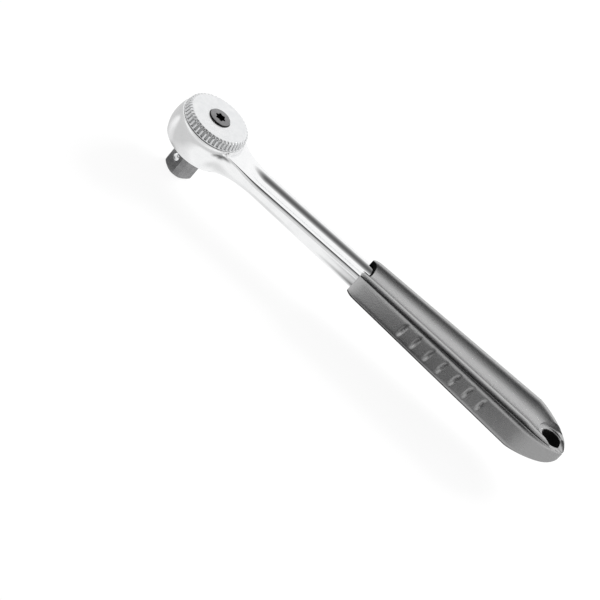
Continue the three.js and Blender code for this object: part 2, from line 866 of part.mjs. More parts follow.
function gripSleeve() {
  let sleeve = gripBlank()
    .subtract(shankBar(gripStart - overcut, tangEnd + sleeveClearance, sleeveClearance))
    .subtract(mouthCut(1))
    .subtract(mouthCut(-1))
    .subtract(disc(hangHoleRadius, 0, 2 * gripMiddle).translate([hangHoleX, 0, 0]));
  for (let i = 0; i < ribCount; i += 1) {
    sleeve = sleeve.subtract(ribGroove(i, 1)).subtract(ribGroove(i, -1));
  }
  return sleeve;
}

// Finishes
const chrome = { color: 0xdfe1e4, roughness: 0.1, metalness: 1 };
const satinChrome = { color: 0xd2d4d6, roughness: 0.35, metalness: 1 };
const darkSteel = { color: 0x3b3c3e, roughness: 0.4, metalness: 0.9 };
const hardSteel = { color: 0x8b8d90, roughness: 0.35, metalness: 1 };
const springSteel = { color: 0x9a9c9f, roughness: 0.3, metalness: 1 };
const rubber = { color: 0x1c1c1d, roughness: 0.8, metalness: 0 };
const gripPlastic = { color: 0x4b4b4d, roughness: 0.55, metalness: 0 };

const ratchet = new THREE.Group();

function piece(name, body, finish) {
  const mesh = new THREE.Mesh(surface(body), new THREE.MeshStandardMaterial(finish));
  mesh.name = name;
  ratchet.add(mesh);
}

piece('ratchet_body', ratchetBody(), chrome);
piece('grip_sleeve', gripSleeve(), gripPlastic);
piece('drive_spindle', driveSpindle(), darkSteel);
piece('reversing_dial', reversingDial(), satinChrome);
piece('dial_screw', dialScrew(), darkSteel);
piece('spring_washer', springWasher(), springSteel);
piece('cover_plate', coverPlate(), hardSteel);
piece('retaining_ring', retainingRing(), springSteel);
piece('thrust_washer', thrustWasher(), hardSteel);
piece('spindle_seal', spindleSeal(), rubber);
piece('drive_ball', driveBall(), chrome);
piece('ball_spring', ballSpring(), springSteel);
for (const [label, side] of [['a', 0], ['b', 180]]) {
  piece(`pawl_${label}`, pawl(side), hardSteel);
  piece(`pawl_pin_${label}`, pawlPin(side, 0, 0), hardSteel);
  piece(`plunger_${label}`, plunger(side), hardSteel);
  piece(`plunger_spring_${label}`, plungerSpring(side, `plunger_spring_${label}`), springSteel);
}

export default ratchet;
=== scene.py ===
"""Looks of a socket ratchet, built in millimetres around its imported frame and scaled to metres."""
from math import ceil, cos, hypot, pi, radians, sin, sqrt, tan

import bmesh
import bpy
import numpy as np
from mathutils import Matrix, Vector


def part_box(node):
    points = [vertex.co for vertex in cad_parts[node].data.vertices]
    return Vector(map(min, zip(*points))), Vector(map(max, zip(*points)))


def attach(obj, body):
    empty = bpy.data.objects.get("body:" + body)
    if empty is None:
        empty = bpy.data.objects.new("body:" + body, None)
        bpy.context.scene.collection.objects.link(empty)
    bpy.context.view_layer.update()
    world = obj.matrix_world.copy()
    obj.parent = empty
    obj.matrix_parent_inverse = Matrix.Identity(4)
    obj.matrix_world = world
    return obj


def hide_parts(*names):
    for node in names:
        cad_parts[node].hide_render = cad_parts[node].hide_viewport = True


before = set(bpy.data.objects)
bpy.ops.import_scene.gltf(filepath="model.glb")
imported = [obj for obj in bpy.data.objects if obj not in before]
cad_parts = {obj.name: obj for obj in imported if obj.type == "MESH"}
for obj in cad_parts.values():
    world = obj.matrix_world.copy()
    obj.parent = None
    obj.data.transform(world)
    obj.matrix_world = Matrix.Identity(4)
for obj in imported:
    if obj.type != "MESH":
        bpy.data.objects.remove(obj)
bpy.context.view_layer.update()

MM = 0.001


def node_box(node):
    """Low and high corners of a node's box, in millimetres"""
    low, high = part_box(node)
    return [v / MM for v in low], [v / MM for v in high]


def lerp(a, b, t):
    return a + (b - a) * t


def clamp01(value):
    return min(1.0, max(0.0, value))


def smooth(t):
    t = clamp01(t)
    return t * t * (3 - 2 * t)


# Sizes read from the frame
BODY_LOW, BODY_HIGH = node_box("ratchet_body")
GRIP_LOW, GRIP_HIGH = node_box("grip_sleeve")
DIAL_HIGH = node_box("reversing_dial")[1]
SCREW_HIGH = node_box("dial_screw")[1]
BALL_LOW, BALL_HIGH = node_box("drive_ball")
HEAD_RADIUS = -BODY_LOW[0]
HEAD_BOTTOM = BODY_LOW[2]
HEAD_TOP = BODY_HIGH[2]
TANG_END = BODY_HIGH[0]
GRIP_START = GRIP_LOW[0]
DIAL_RADIUS = DIAL_HIGH[0]
DIAL_TOP = DIAL_HIGH[2]
SCREW_RADIUS = SCREW_HIGH[0]
SCREW_TOP = SCREW_HIGH[2]

# Head and its inside
RIM_ROUND = 0.35
HEAD_CROWN = 1.3
HEAD_CROWN_POWER = 2.5
HEAD_BELLY = 7.7
HEAD_DRAFT = 1.5
HEAD_FOOT = 0.7
SEAT_RADIUS = 15.93
SEAT_FLOOR = 29.8
TOOTH_COUNT = 36
TOOTH_TIP = 13.68
TOOTH_ROOT = 14.78
TOOTH_LAND = 1.0
TOOTH_PHASE = 98.0
FLOOR_TOP = 20.7
BORE_RADIUS = 9.38
RING_STEPS = 360
WALL_STEPS = 268
NECK_STEPS = 90

# Neck and shank
NECK_ANGLE = 46.0
NECK_LENGTH = 23.0
NECK_TOP_DROP = 1.0
NECK_TOP_POWER = 2.5
NECK_BOTTOM_POWER = 2.0
NECK_BOTTOM_RISE = 0.9
HANDLE_HEIGHT = (HEAD_BOTTOM + HEAD_TOP) / 2 - 0.5
SHANK_HALF_WIDTH = 8.0
SHANK_HALF_THICKNESS = 3.45
SHANK_FLARE = 0.9
SHANK_EDGE = 0.35
SIDE_BULGE = 0.9
SIDE_BULGE_POWER = 3
CHANNEL_SET_BACK = 9.1
CHANNEL_RUN_OUT = 14.0
CHANNEL_DEPTH = 1.55
CHANNEL_HALF = 5.9
CHANNEL_FLOOR_HALF = 1.0
EDGE_RUN_OUT = 4.0
CHANNEL_ALIGN_START = 4.0
CHANNEL_ALIGN_LENGTH = 8.0
BOW_LENGTH = 9.0
NECK_OVERRUN = 2.0
SLEEVED_LENGTH = 8.0
CHANNEL_EDGE_SHARE = 0.6
CHANNEL_FLOOR_SHARE = 0.32
NECK_ROOT = HEAD_RADIUS * cos(radians(NECK_ANGLE))
NECK_ROOT_HALF = HEAD_RADIUS * sin(radians(NECK_ANGLE))
NECK_WIDTH_POWER = NECK_LENGTH / tan(radians(NECK_ANGLE)) / (NECK_ROOT_HALF - SHANK_HALF_WIDTH)
NECK_END = NECK_ROOT + NECK_LENGTH
NECK_ROOT_TOP = HEAD_TOP - NECK_TOP_DROP

# Grip
GRIP_BARREL = 104.0
GRIP_TAIL = 24.3
GRIP_MIDDLE = HANDLE_HEIGHT + 0.3
FRONT_ROUND = 5.5
FRONT_DRAW = 1.35
FRONT_DROP = 0.9
GRIP_FRONT = {"half_width": 10.0, "thickness": 7.2, "ridge": 7.5, "trough": 2.2}
GRIP_REAR = {"half_width": 14.8, "thickness": 9.1, "ridge": 10.6, "trough": 3.0}
TROUGH_POWER = 2.4
TROUGH_ROUND = 0.2
CREASE_OUT = 2.2
CREASE_DOWN = 0.75
CREASE_LIP = 0.12
CREASE_MARGIN = 0.3
RIDGE_DRAW = 0.4
CREASE_DEPTH = 0.75
CREASE_UNDERCUT = 1.3
CREASE_WALL_IN = 0.1
CREASE_WALL_DOWN = 0.2
CREASE_FLOOR_UP = 0.3
PANEL_ROUND = 2.6
TAIL_OUTLINE_POWER = 1.7
TAIL_OUTLINE_ROOT = 0.55
TAIL_THINNING = 0.5
TAIL_THINNING_POWER = 1.2
TAIL_TIP_THINNING = 0.6
TAIL_TIP_POWER = 12.0
TAIL_START = GRIP_START + GRIP_BARREL
GRIP_END = TAIL_START + GRIP_TAIL
HANG_RADIUS = 5.4
HANG_LAND = 3.7
HANG_LIP = 1.1
HANG_LIP_HEIGHT = 0.75 * HANG_LIP
HANG_LIP_RISE = 0.4
HANG_OVERCUT = 4.0
HANG_WALL_MARGIN = 0.02
MOUTH_OVERCUT = 2.0
HANG_X = GRIP_END - HANG_LAND - HANG_RADIUS
MOUTH_SET_BACK = 5.8
MOUTH_SLOPE = 3.0
MOUTH_EDGE = 0.6
SLEEVE_CLEARANCE = 0.25
GROOVE_COUNT = 7
GROOVE_PITCH = 8.5
GROOVE_START = 32.0
GROOVE_HALF_WIDTH = 1.45
GROOVE_HALF_LENGTH = 5.6
GROOVE_DEPTH = 1.1
GROOVE_DEEPEST = 0.6
GROOVE_FADE = 5.0
GROOVE_LEAN = 5.0
GROOVE_APPROACH = 4.0
GROOVE_MESH = 0.28

# Dial and screw
DIAL_BOTTOM = HEAD_TOP + 0.2
DIAL_FOOT_INSET = 0.15
DIAL_FOOT_ROUND = 0.08
KNURL_COUNT = 48
KNURL_FOOT = 0.35
KNURL_FOOT_DEPTH = 0.5
RIDGE_TAPER = 0.7
VALLEY_TAPER = 1.4
RIDGE_SHARE = 0.45
RIDGE_SOFTNESS = 0.15
KNURL_RUN_OUT = 0.1
DIAL_FACE_INSET = 2.45
DIAL_CHAMFER_HEIGHT = 1.0
DIAL_CHAMFER_POWER = 1.4
DIAL_FACE_EASE = 0.3
COUNTERBORE_RADIUS = SCREW_RADIUS + 0.1
COUNTERBORE_FLOOR = 34.2
COUNTERBORE_CHAMFER = 0.25
HUB_BORE = 2.98
SCREW_HEAD_BOTTOM = 35.1
LOBE_COUNT = 6
LOBE_RADIUS = 2.45
LOBE_SWELL = 0.35
LOBE_DEPTH = 2.2
LOBE_CHAMFER = 0.12
LOBE_FOOT = 0.2
LOBE_CONE = 0.5
SCREW_CHAMFER = 0.3

# Drive square and ball
SQUARE_TURN = -37.0
SQUARE_HALF = 6.35
CORNER_FLAT = 1.5
CORNER_BLEND = 0.12
SQUARE_CORNER = SQUARE_HALF * sqrt(2) - CORNER_FLAT
SQUARE_WIDEST = SQUARE_CORNER + 0.4
SQUARE_TOP = 16.0
NOSE_RADIUS = 4.4
NOSE_ROUND = 1.9
BALL_RADIUS = (BALL_HIGH[2] - BALL_LOW[2]) / 2
BALL_MOUTH = 2.2
BALL_CLEARANCE = 0.05
BALL_LIP = 0.35
BALL_LIP_DEPTH = 0.3
BALL_STAKE_FOOT = 0.1
BALL_STAKE_TOP = 0.85
BALL_SEAT_OUT = 3.0
POINT = 0.01

# Camera, fitted to the photo
CAMERA_DISTANCE = 1400.0
CAMERA_AZIMUTH = radians(-0.1594)
CAMERA_ELEVATION = radians(33.762)
CAMERA_ROLL = radians(42.2662)
CAMERA_TARGET = Vector((85.835, 0.5545, -8.9805))
CAMERA_LENS = 174.35

# Surroundings; a pool has a middle, half widths and a soft edge, and a lamp a place, aim, size and brightness
DARK_DIRECTION = (0, -0.42, 0.91)
DARK_INNER = 24.0
DARK_OUTER = 70.0
STUDIO_BRIGHT = 1.05
STUDIO_DARK = 0.03
FLOOR_SPAN = 4.0
FLOOR_DROP = -0.02
FLOOR_COLOUR = 0.8
FLOOR_ROUGHNESS = 0.9
FLOOR_SHADE = 0.16
FLOOR_GLOW = 0.88
# Painted light pools and painted shade pools on the floor, seen only in reflections: the front and left pools
# paint light, the shade pools paint shade by the grip, its grooves, the drive and the neck
FRONT_POOL = (60, -60), (72, 110), 0.12
LEFT_POOL = (-80, -3), (52, 13), 0.3
GRIP_SHADE = (158, -68), (64, 36), 0.15
GROOVE_SHADE = (125, -29), (36, 16), 0.2
GROOVE_SHADE_INSIDE = 0.1
DRIVE_SHADE = (-12, -8), (7, 8), 0.2
NECK_SHADE = (43, -19), (15, 12), 0.25
NECK_SHADE_INSIDE = 0.8
POOL_OUTSIDE = 0.66
SHADE_INSIDE = 0.28
SOFTBOXES = {
    "right_softbox": ((0.95, -0.65, 0.2), (0.05, 0, 0.02), (0.6, 0.35), 7.0),
    "rear_softbox": ((0.57, 0.99, 0.82), (0.1, 0, 0.02), (0.5, 0.4), 22.0),
}


# Mesh helpers
class Patches:
    """Grids of points in millimetres, gathered into one welded mesh"""

    def __init__(self):
        self.points = []
        self.faces = []

    def grid(self, rows, closed=False):
        """Adds a sheet through rows of points, each row closed on itself if asked"""
        base = len(self.points)
        count = len(rows[0])
        for row in rows:
            self.points.extend(tuple(p) for p in row)
        last = count if closed else count - 1
        for r in range(len(rows) - 1):
            for c in range(last):
                a = base + r * count + c
                b = base + r * count + (c + 1) % count
                self.faces.append((a, b, b + count, a + count))

    def cap(self, loop):
        base = len(self.points)
        self.points.extend(tuple(p) for p in loop)
        self.faces.append(tuple(range(base, base + len(loop))))

    def mesh(self, name, weld=0.0005):
        """The welded mesh in metres, with its faces pointing out"""
        bm = bmesh.new()
        places = [bm.verts.new(Vector(p) * MM) for p in self.points]
        for face in self.faces:
            bm.faces.new([places[i] for i in face])
        bmesh.ops.remove_doubles(bm, verts=bm.verts, dist=weld * MM)
        bmesh.ops.dissolve_degenerate(bm, edges=bm.edges, dist=weld * MM)
        bmesh.ops.recalc_face_normals(bm, faces=bm.faces)
        mesh = bpy.data.meshes.new(name)
        bm.to_mesh(mesh)
        bm.free()
        return mesh


def piece(name, mesh, material, body, nodes=(), sharp=32):
    """A finished piece that rides on a body and may stand for nodes of the frame"""
    obj = bpy.data.objects.new(name, mesh)
    bpy.context.scene.collection.objects.link(obj)
    if not mesh.materials:
        mesh.materials.append(material)
    mesh.shade_smooth()
    mesh.set_sharp_from_angle(angle=radians(sharp))
    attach(obj, body)
    if nodes:
        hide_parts(*nodes)
    return obj


def carve(mesh, cutters):
    """A mesh cut by others, whose materials line the cuts"""
    target = bpy.data.objects.new("carve_target", mesh)
    bpy.context.scene.collection.objects.link(target)
    helpers = []
    for cutter in cutters:
        helper = bpy.data.objects.new("carve_tool", cutter)
        bpy.context.scene.collection.objects.link(helper)
        step = target.modifiers.new("carve", "BOOLEAN")
        step.object = helper
        step.solver = "EXACT"
        step.operation = "DIFFERENCE"
        step.material_mode = "TRANSFER"
        helpers.append(helper)
    graph = bpy.context.evaluated_depsgraph_get()
    result = bpy.data.meshes.new_from_object(target.evaluated_get(graph))
    for obj in [target, *helpers]:
        bpy.data.objects.remove(obj)
    return result


def turned(profile, steps=96, name="turned"):
    """A closed solid turned about Z from a profile of radius and height pairs"""
    patches = Patches()
    rows = []
    for radius, height in profile:
        angles = [2 * pi * i / steps for i in range(steps)]
        rows.append([(radius * cos(a), radius * sin(a), height) for a in angles])
    patches.grid(rows, closed=True)
    return patches.mesh(name)


def lofted(loops, name):
    patches = Patches()
    patches.grid(loops, closed=True)
    patches.cap(loops[0])
    patches.cap(loops[-1])
    return patches.mesh(name)


def arc_profile(centre, radii, start, end, steps):
    """Points along a quarter ellipse in a profile, by angles in degrees"""
    points = []
    for i in range(steps + 1):
        angle = radians(lerp(start, end, i / steps))
        points.append((centre[0] + radii[0] * cos(angle), centre[1] + radii[1] * sin(angle)))
    return points


# Materials
def new_material(name, colour, metallic, roughness):
    material = bpy.data.materials.new(name)
    material.use_nodes = True
    shader = material.node_tree.nodes["Principled BSDF"]
    shader.inputs["Base Color"].default_value = (*colour, 1)
    shader.inputs["Metallic"].default_value = metallic
    shader.inputs["Roughness"].default_value = roughness
    return material, material.node_tree, shader


def noise(tree, scale, detail=3.0):
    """Noise in object space, in waves per metre"""
    place = tree.nodes.new("ShaderNodeTexCoord")
    texture = tree.nodes.new("ShaderNodeTexNoise")
    texture.inputs["Scale"].default_value = scale
    texture.inputs["Detail"].default_value = detail
    tree.links.new(place.outputs["Object"], texture.inputs["Vector"])
    return texture.outputs["Fac"]


def spread(tree, value, low, high, start=0.3, end=0.7):
    """Maps a value onto a range"""
    ramp = tree.nodes.new("ShaderNodeMapRange")
    ramp.inputs["From Min"].default_value = start
    ramp.inputs["From Max"].default_value = end
    ramp.inputs["To Min"].default_value = low
    ramp.inputs["To Max"].default_value = high
    tree.links.new(value, ramp.inputs["Value"])
    return ramp.outputs["Result"]


def tint(tree, value, dark, light):
    """A colour that runs from dark to light with a value"""
    mix = tree.nodes.new("ShaderNodeMix")
    mix.data_type = "RGBA"
    mix.inputs["A"].default_value = (*dark, 1)
    mix.inputs["B"].default_value = (*light, 1)
    tree.links.new(value, mix.inputs["Factor"])
    return mix.outputs["Result"]


def bump(tree, shader, value, height, strength=1.0):
    node = tree.nodes.new("ShaderNodeBump")
    node.inputs["Strength"].default_value = strength
    node.inputs["Distance"].default_value = height
    tree.links.new(value, node.inputs["Height"])
    tree.links.new(node.outputs["Normal"], shader.inputs["Normal"])


POLISH_FINENESS = 2.3
GRAIN_FINENESS = 14
FINE_GRAIN = 0.000004
COARSE_GRAIN = 0.000006


def metal(name, shades, roughness, scale=220.0, grain=0.0, metallic=1.0):
    """Metal whose colour and roughness drift between two values, with a fine grain if asked"""
    dark, light = shades
    material, tree, shader = new_material(name, light, metallic, roughness[0])
    cloud = noise(tree, scale, 4.0)
    tree.links.new(tint(tree, spread(tree, cloud, 0, 1), dark, light), shader.inputs["Base Color"])
    polish = noise(tree, scale * POLISH_FINENESS, 3.0)
    tree.links.new(spread(tree, polish, *roughness), shader.inputs["Roughness"])
    if grain:
        bump(tree, shader, noise(tree, scale * GRAIN_FINENESS, 2.0), grain)
    return material


chrome = metal("polished_chrome", ((0.87, 0.875, 0.88), (0.92, 0.923, 0.926)), (0.11, 0.17))
satin = metal("satin_chrome", ((0.8, 0.81, 0.82), (0.87, 0.875, 0.88)), (0.28, 0.36), 300.0, FINE_GRAIN, 0.8)
# Painted shade: a darker copy of the satin, also rougher, for the deep valleys of the knurl
satin_valley_shade = metal("satin_valley_shade", ((0.4, 0.405, 0.41), (0.48, 0.485, 0.49)), (0.4, 0.5),
                     300.0, FINE_GRAIN, 0.8)
burnished = metal("burnished_steel", ((0.2, 0.2, 0.203), (0.28, 0.28, 0.284)), (0.22, 0.32),
                  260.0, COARSE_GRAIN, 0.45)
black_steel = metal("black_steel", ((0.22, 0.22, 0.225), (0.3, 0.3, 0.305)), (0.3, 0.45), 300.0, COARSE_GRAIN)
# Painted shade: a near-black copy of the black steel for the screw head's side and lobed recess
black_steel_shade = metal("black_steel_shade", ((0.01, 0.01, 0.01), (0.022, 0.022, 0.022)), (0.35, 0.5),
                    300.0, COARSE_GRAIN)
plain_steel = metal("plain_steel", ((0.46, 0.46, 0.47), (0.58, 0.585, 0.59)), (0.25, 0.4), 260.0, FINE_GRAIN)
spring_steel = metal("spring_steel", ((0.5, 0.505, 0.51), (0.62, 0.625, 0.63)), (0.2, 0.32), 260.0)
ball_steel = metal("bright_ball", ((0.84, 0.85, 0.86), (0.9, 0.905, 0.91)), (0.04, 0.09), 260.0)


def grip_material():
    """Dark grained plastic with a silky skin"""
    material, tree, shader = new_material("grip_plastic", (0.05, 0.05, 0.05), 0.0, 0.45)
    speckle = noise(tree, 2400.0, 4.0)
    cloud = noise(tree, 120.0, 3.0)
    colour = tint(tree, spread(tree, speckle, 0, 1), (0.015, 0.015, 0.016), (0.075, 0.075, 0.077))
    tree.links.new(colour, shader.inputs["Base Color"])
    tree.links.new(spread(tree, cloud, 0.36, 0.46), shader.inputs["Roughness"])
    shader.inputs["Specular IOR Level"].default_value = 0.8
    shader.inputs["Coat Weight"].default_value = 1.0
    shader.inputs["Coat IOR"].default_value = 4.4
    tree.links.new(spread(tree, cloud, 0.22, 0.28), shader.inputs["Coat Roughness"])
    bump(tree, shader, speckle, 0.00012, 0.8)
    tree.links.new(shader.inputs["Normal"].links[0].from_socket, shader.inputs["Coat Normal"])
    return material


def seal_material():
    material, tree, shader = new_material("seal_rubber", (0.03, 0.03, 0.03), 0.0, 0.7)
    cloud = noise(tree, 700.0)
    tree.links.new(tint(tree, cloud, (0.02, 0.02, 0.02), (0.045, 0.045, 0.045)), shader.inputs["Base Color"])
    tree.links.new(spread(tree, cloud, 0.6, 0.8), shader.inputs["Roughness"])
    return material


def painted_shade_material():
    """Nearly black plastic inside the grip's openings, painted shade for the shadowed mouth and hang hole"""
    material, tree, shader = new_material("bore_painted_shade", (0.006, 0.006, 0.006), 0.0, 0.8)
    cloud = noise(tree, 900.0)
    colour = tint(tree, cloud, (0.004, 0.004, 0.004), (0.009, 0.009, 0.009))
    tree.links.new(colour, shader.inputs["Base Color"])
    shader.inputs["Specular IOR Level"].default_value = 0.1
    bump(tree, shader, cloud, 0.00005)
    return material


grip_plastic = grip_material()
bore_painted_shade = painted_shade_material()
seal_rubber = seal_material()


# Head, neck and shank
def nearness(u):
    """1 where the neck leaves the head and 0 where it has become the shank"""
    return 1 - clamp01((u - NECK_ROOT) / NECK_LENGTH)


def neck_half_width(u):
    return SHANK_HALF_WIDTH + (NECK_ROOT_HALF - SHANK_HALF_WIDTH) * nearness(u) ** NECK_WIDTH_POWER


def shank_waist(u):
    return SHANK_HALF_THICKNESS + SHANK_FLARE * clamp01((u - NECK_END) / (GRIP_START - NECK_END))


def neck_top(u):
    return lerp(HANDLE_HEIGHT + shank_waist(u), NECK_ROOT_TOP, nearness(u) ** NECK_TOP_POWER)


def neck_bottom(u):
    root = HEAD_BOTTOM + NECK_BOTTOM_RISE
    return lerp(HANDLE_HEIGHT - shank_waist(u), root, nearness(u) ** NECK_BOTTOM_POWER)


def edge_size(u):
    """Radius of the neck's long edges, which starts from nothing at the head"""
    return SHANK_EDGE * smooth((u - NECK_ROOT) / EDGE_RUN_OUT)


def wall_inset(z):
    """How far the head's barrel wall draws in at a height, above and below its belly"""
    belly = HEAD_TOP - HEAD_BELLY
    foot = HEAD_BOTTOM + HEAD_FOOT
    if z > belly:
        return HEAD_CROWN * clamp01((z - belly) / (HEAD_TOP - belly)) ** HEAD_CROWN_POWER
    return HEAD_DRAFT * clamp01((belly - z) / (belly - foot)) ** 2


def channel_sink(u, y):
    """Depth of the shank's channel at a place on its face"""
    depth = CHANNEL_DEPTH * smooth((u - NECK_ROOT - CHANNEL_SET_BACK) / CHANNEL_RUN_OUT)
    t = clamp01((abs(y) - CHANNEL_FLOOR_HALF) / (CHANNEL_HALF - CHANNEL_FLOOR_HALF))
    return depth * 0.5 * (1 + cos(pi * t))


def neck_stations():
    """Places along the handle, close together on the neck and far apart on the hidden tang"""
    neck_end = NECK_END + NECK_OVERRUN
    tang_start = GRIP_START + SLEEVED_LENGTH
    neck = [lerp(NECK_ROOT, neck_end, i / 44) for i in range(45)]
    shank = [lerp(neck_end, tang_start, i / 16) for i in range(1, 17)]
    tang = [lerp(tang_start, TANG_END, i / 6) for i in range(1, 7)]
    return neck + shank + tang


def side_normal(u):
    """Direction that the neck's far side faces at a station, seen from above"""
    step = 0.01
    slope = (neck_half_width(u + step) - neck_half_width(u)) / step
    length = hypot(1, slope)
    return -slope / length, 1 / length


def side_rows(u):
    """Points down the neck's bulged side at a station, from its top edge to its bottom edge"""
    edge = edge_size(u)
    top = neck_top(u)
    bottom = neck_bottom(u)
    head_share = nearness(u)
    middle = (top + bottom) / 2

    def inset(z):
        bulge = SIDE_BULGE * abs((z - middle) / (top - middle)) ** SIDE_BULGE_POWER
        return lerp(bulge, wall_inset(z), head_share)

    corner = 6
    turns = [radians(90 * i / corner) for i in range(corner + 1)]
    wall = 16
    profile = [(edge * (1 - sin(a)), top - edge * (1 - cos(a))) for a in turns[:-1]]
    profile += [(0, lerp(top - edge, bottom + edge, i / wall)) for i in range(wall + 1)]
    profile += [(edge * (1 - cos(a)), bottom + edge * (1 - sin(a))) for a in turns[1:]]
    nx, ny = side_normal(u)
    half = neck_half_width(u)
    points = []
    for extra, z in profile:
        depth = extra + inset(z)
        points.append((u - nx * depth, half - ny * depth, z))
    return points


def across(count, inner):
    """Shares across the neck from side to side, with the channel's edges among them"""
    share = [lerp(-1, 1, i / (count - 1)) for i in range(count)]
    floor = inner * CHANNEL_FLOOR_HALF / CHANNEL_HALF
    marks = [(-1.0, -1.0), (-CHANNEL_EDGE_SHARE, -inner), (-CHANNEL_FLOOR_SHARE, -floor),
             (CHANNEL_FLOOR_SHARE, floor), (CHANNEL_EDGE_SHARE, inner), (1.0, 1.0)]
    return [float(np.interp(s, [m[0] for m in marks], [m[1] for m in marks])) for s in share]


def neck_face(stations, edge_row, height, upper):
    """Rows of the neck's top or bottom face, from the arc on the head's wall to the tang's end"""
    count = NECK_STEPS + 1
    rows = []
    even = [lerp(-1, 1, i / (count - 1)) for i in range(count)]
    arc = []
    for s in even:
        angle = radians(NECK_ANGLE * s)
        z = height(HEAD_RADIUS * cos(angle))
        radius = HEAD_RADIUS - wall_inset(z)
        arc.append((radius * cos(angle), radius * sin(angle), z))
    rows.append(arc)
    for u in stations[1:]:
        x, y, z = side_rows(u)[edge_row]
        half = abs(y)
        aligned = across(count, CHANNEL_HALF / half)
        settle = smooth((u - NECK_ROOT - CHANNEL_ALIGN_START) / CHANNEL_ALIGN_LENGTH)
        bow = 1 - smooth((u - NECK_ROOT) / BOW_LENGTH)
        row = []
        for k, s in enumerate(even):
            share = lerp(s, aligned[k], settle)
            place_y = half * share
            arc_x = sqrt(HEAD_RADIUS ** 2 - (NECK_ROOT_HALF * share) ** 2)
            place_x = x + bow * (arc_x - NECK_ROOT)
            sink = channel_sink(place_x, place_y)
            level = lerp(z, height(place_x), bow) if abs(share) < 1 else z
            row.append((place_x, place_y, level - sink if upper else level + sink))
        rows.append(row)
    return rows


def tooth_radius(degrees):
    """Radius of the tooth ring at an angle"""
    pitch = 360 / TOOTH_COUNT
    away = abs((degrees - TOOTH_PHASE + pitch / 2) % pitch - pitch / 2)
    share = clamp01((away - TOOTH_LAND) / (pitch / 2 - 2 * TOOTH_LAND))
    return lerp(TOOTH_ROOT, TOOTH_TIP, share)


def polar(radius, degrees, z):
    return radius * cos(radians(degrees)), radius * sin(radians(degrees)), z


def head_patches(patches):
    """The head inside and out: rim, bore and teeth, then its wall beside and under the neck"""
    ring = [360 * i / RING_STEPS for i in range(RING_STEPS)]

    def circle(radius, z):
        return [polar(radius, a, z) for a in ring]

    def toothed(z):
        return [polar(tooth_radius(a), a, z) for a in ring]

    rim_foot = HEAD_TOP - RIM_ROUND
    rim_radius = HEAD_RADIUS - wall_inset(rim_foot)
    rim = arc_profile((rim_radius - RIM_ROUND, rim_foot), (RIM_ROUND, RIM_ROUND), 90, 0, 8)
    inside = [circle(BORE_RADIUS, HEAD_BOTTOM), circle(BORE_RADIUS, FLOOR_TOP)]
    inside += [toothed(FLOOR_TOP), toothed(SEAT_FLOOR)]
    inside += [circle(SEAT_RADIUS, SEAT_FLOOR), circle(SEAT_RADIUS, HEAD_TOP)]
    patches.grid(inside + [circle(r, z) for r, z in rim], closed=True)

    steps = 16
    bottom_split = HEAD_BOTTOM + NECK_BOTTOM_RISE
    brow = 6
    heights = [lerp(rim_foot, NECK_ROOT_TOP, i / brow) for i in range(brow)]
    heights += [lerp(NECK_ROOT_TOP, bottom_split, i / steps) for i in range(steps + 1)]
    wide = [NECK_ANGLE + (360 - 2 * NECK_ANGLE) * i / WALL_STEPS for i in range(WALL_STEPS + 1)]
    patches.grid([[polar(HEAD_RADIUS - wall_inset(z), a, z) for a in wide] for z in heights])

    narrow = [lerp(-NECK_ANGLE, NECK_ANGLE, i / NECK_STEPS) for i in range(NECK_STEPS + 1)]

    def sector(level):
        row = []
        for a in narrow:
            top = neck_top(HEAD_RADIUS * cos(radians(a)))
            z = lerp(rim_foot, top, level)
            row.append(polar(HEAD_RADIUS - wall_inset(z), a, z))
        return row

    patches.grid([sector(i / brow) for i in range(brow + 1)])

    foot = HEAD_BOTTOM + HEAD_FOOT
    lower = arc_profile((HEAD_RADIUS - HEAD_DRAFT - HEAD_FOOT, foot), (HEAD_FOOT, -HEAD_FOOT), 0, 90, 6)

    def lower_rows(angles, start):
        rows = []
        for i in range(4):
            row = []
            for a in angles:
                z = lerp(start(a), foot, i / 4)
                row.append(polar(HEAD_RADIUS - wall_inset(z), a, z))
            rows.append(row)
        for radius, z in lower + [(BORE_RADIUS, HEAD_BOTTOM)]:
            rows.append([polar(radius, a, z) for a in angles])
        return rows

    patches.grid(lower_rows(wide, lambda a: bottom_split))
    patches.grid(lower_rows(narrow, lambda a: neck_bottom(HEAD_RADIUS * cos(radians(a)))))


def body_mesh():
    patches = Patches()
    head_patches(patches)
    stations = neck_stations()
    far_side = [side_rows(u) for u in stations]
    near_side = [[(x, -y, z) for x, y, z in row] for row in far_side]
    patches.grid(far_side)
    patches.grid(near_side)
    patches.grid(neck_face(stations, 0, neck_top, True))
    patches.grid(neck_face(stations, -1, neck_bottom, False))
    return patches.mesh("ratchet_body", 0.02)


piece("ratchet_body_forging", body_mesh(), chrome, "handle", ["ratchet_body"], 38)


# Grip
def grip_size(u, key):
    t = clamp01((u - GRIP_START) / GRIP_BARREL)
    return lerp(GRIP_FRONT[key], GRIP_REAR[key], t * t if key == "trough" else t)


def tail_share(u):
    return clamp01((u - TAIL_START) / GRIP_TAIL)


def trough_rise(t):
    """Share of the trough's depth climbed at a share of the way from its middle to the ridge"""
    bend = 1 - TROUGH_ROUND
    slope = TROUGH_POWER * bend ** (TROUGH_POWER - 1)
    height = bend ** TROUGH_POWER + slope * TROUGH_ROUND / 2
    if t < bend:
        return t ** TROUGH_POWER / height
    past = t - bend
    return (bend ** TROUGH_POWER + slope * (past - past * past / (2 * TROUGH_ROUND))) / height


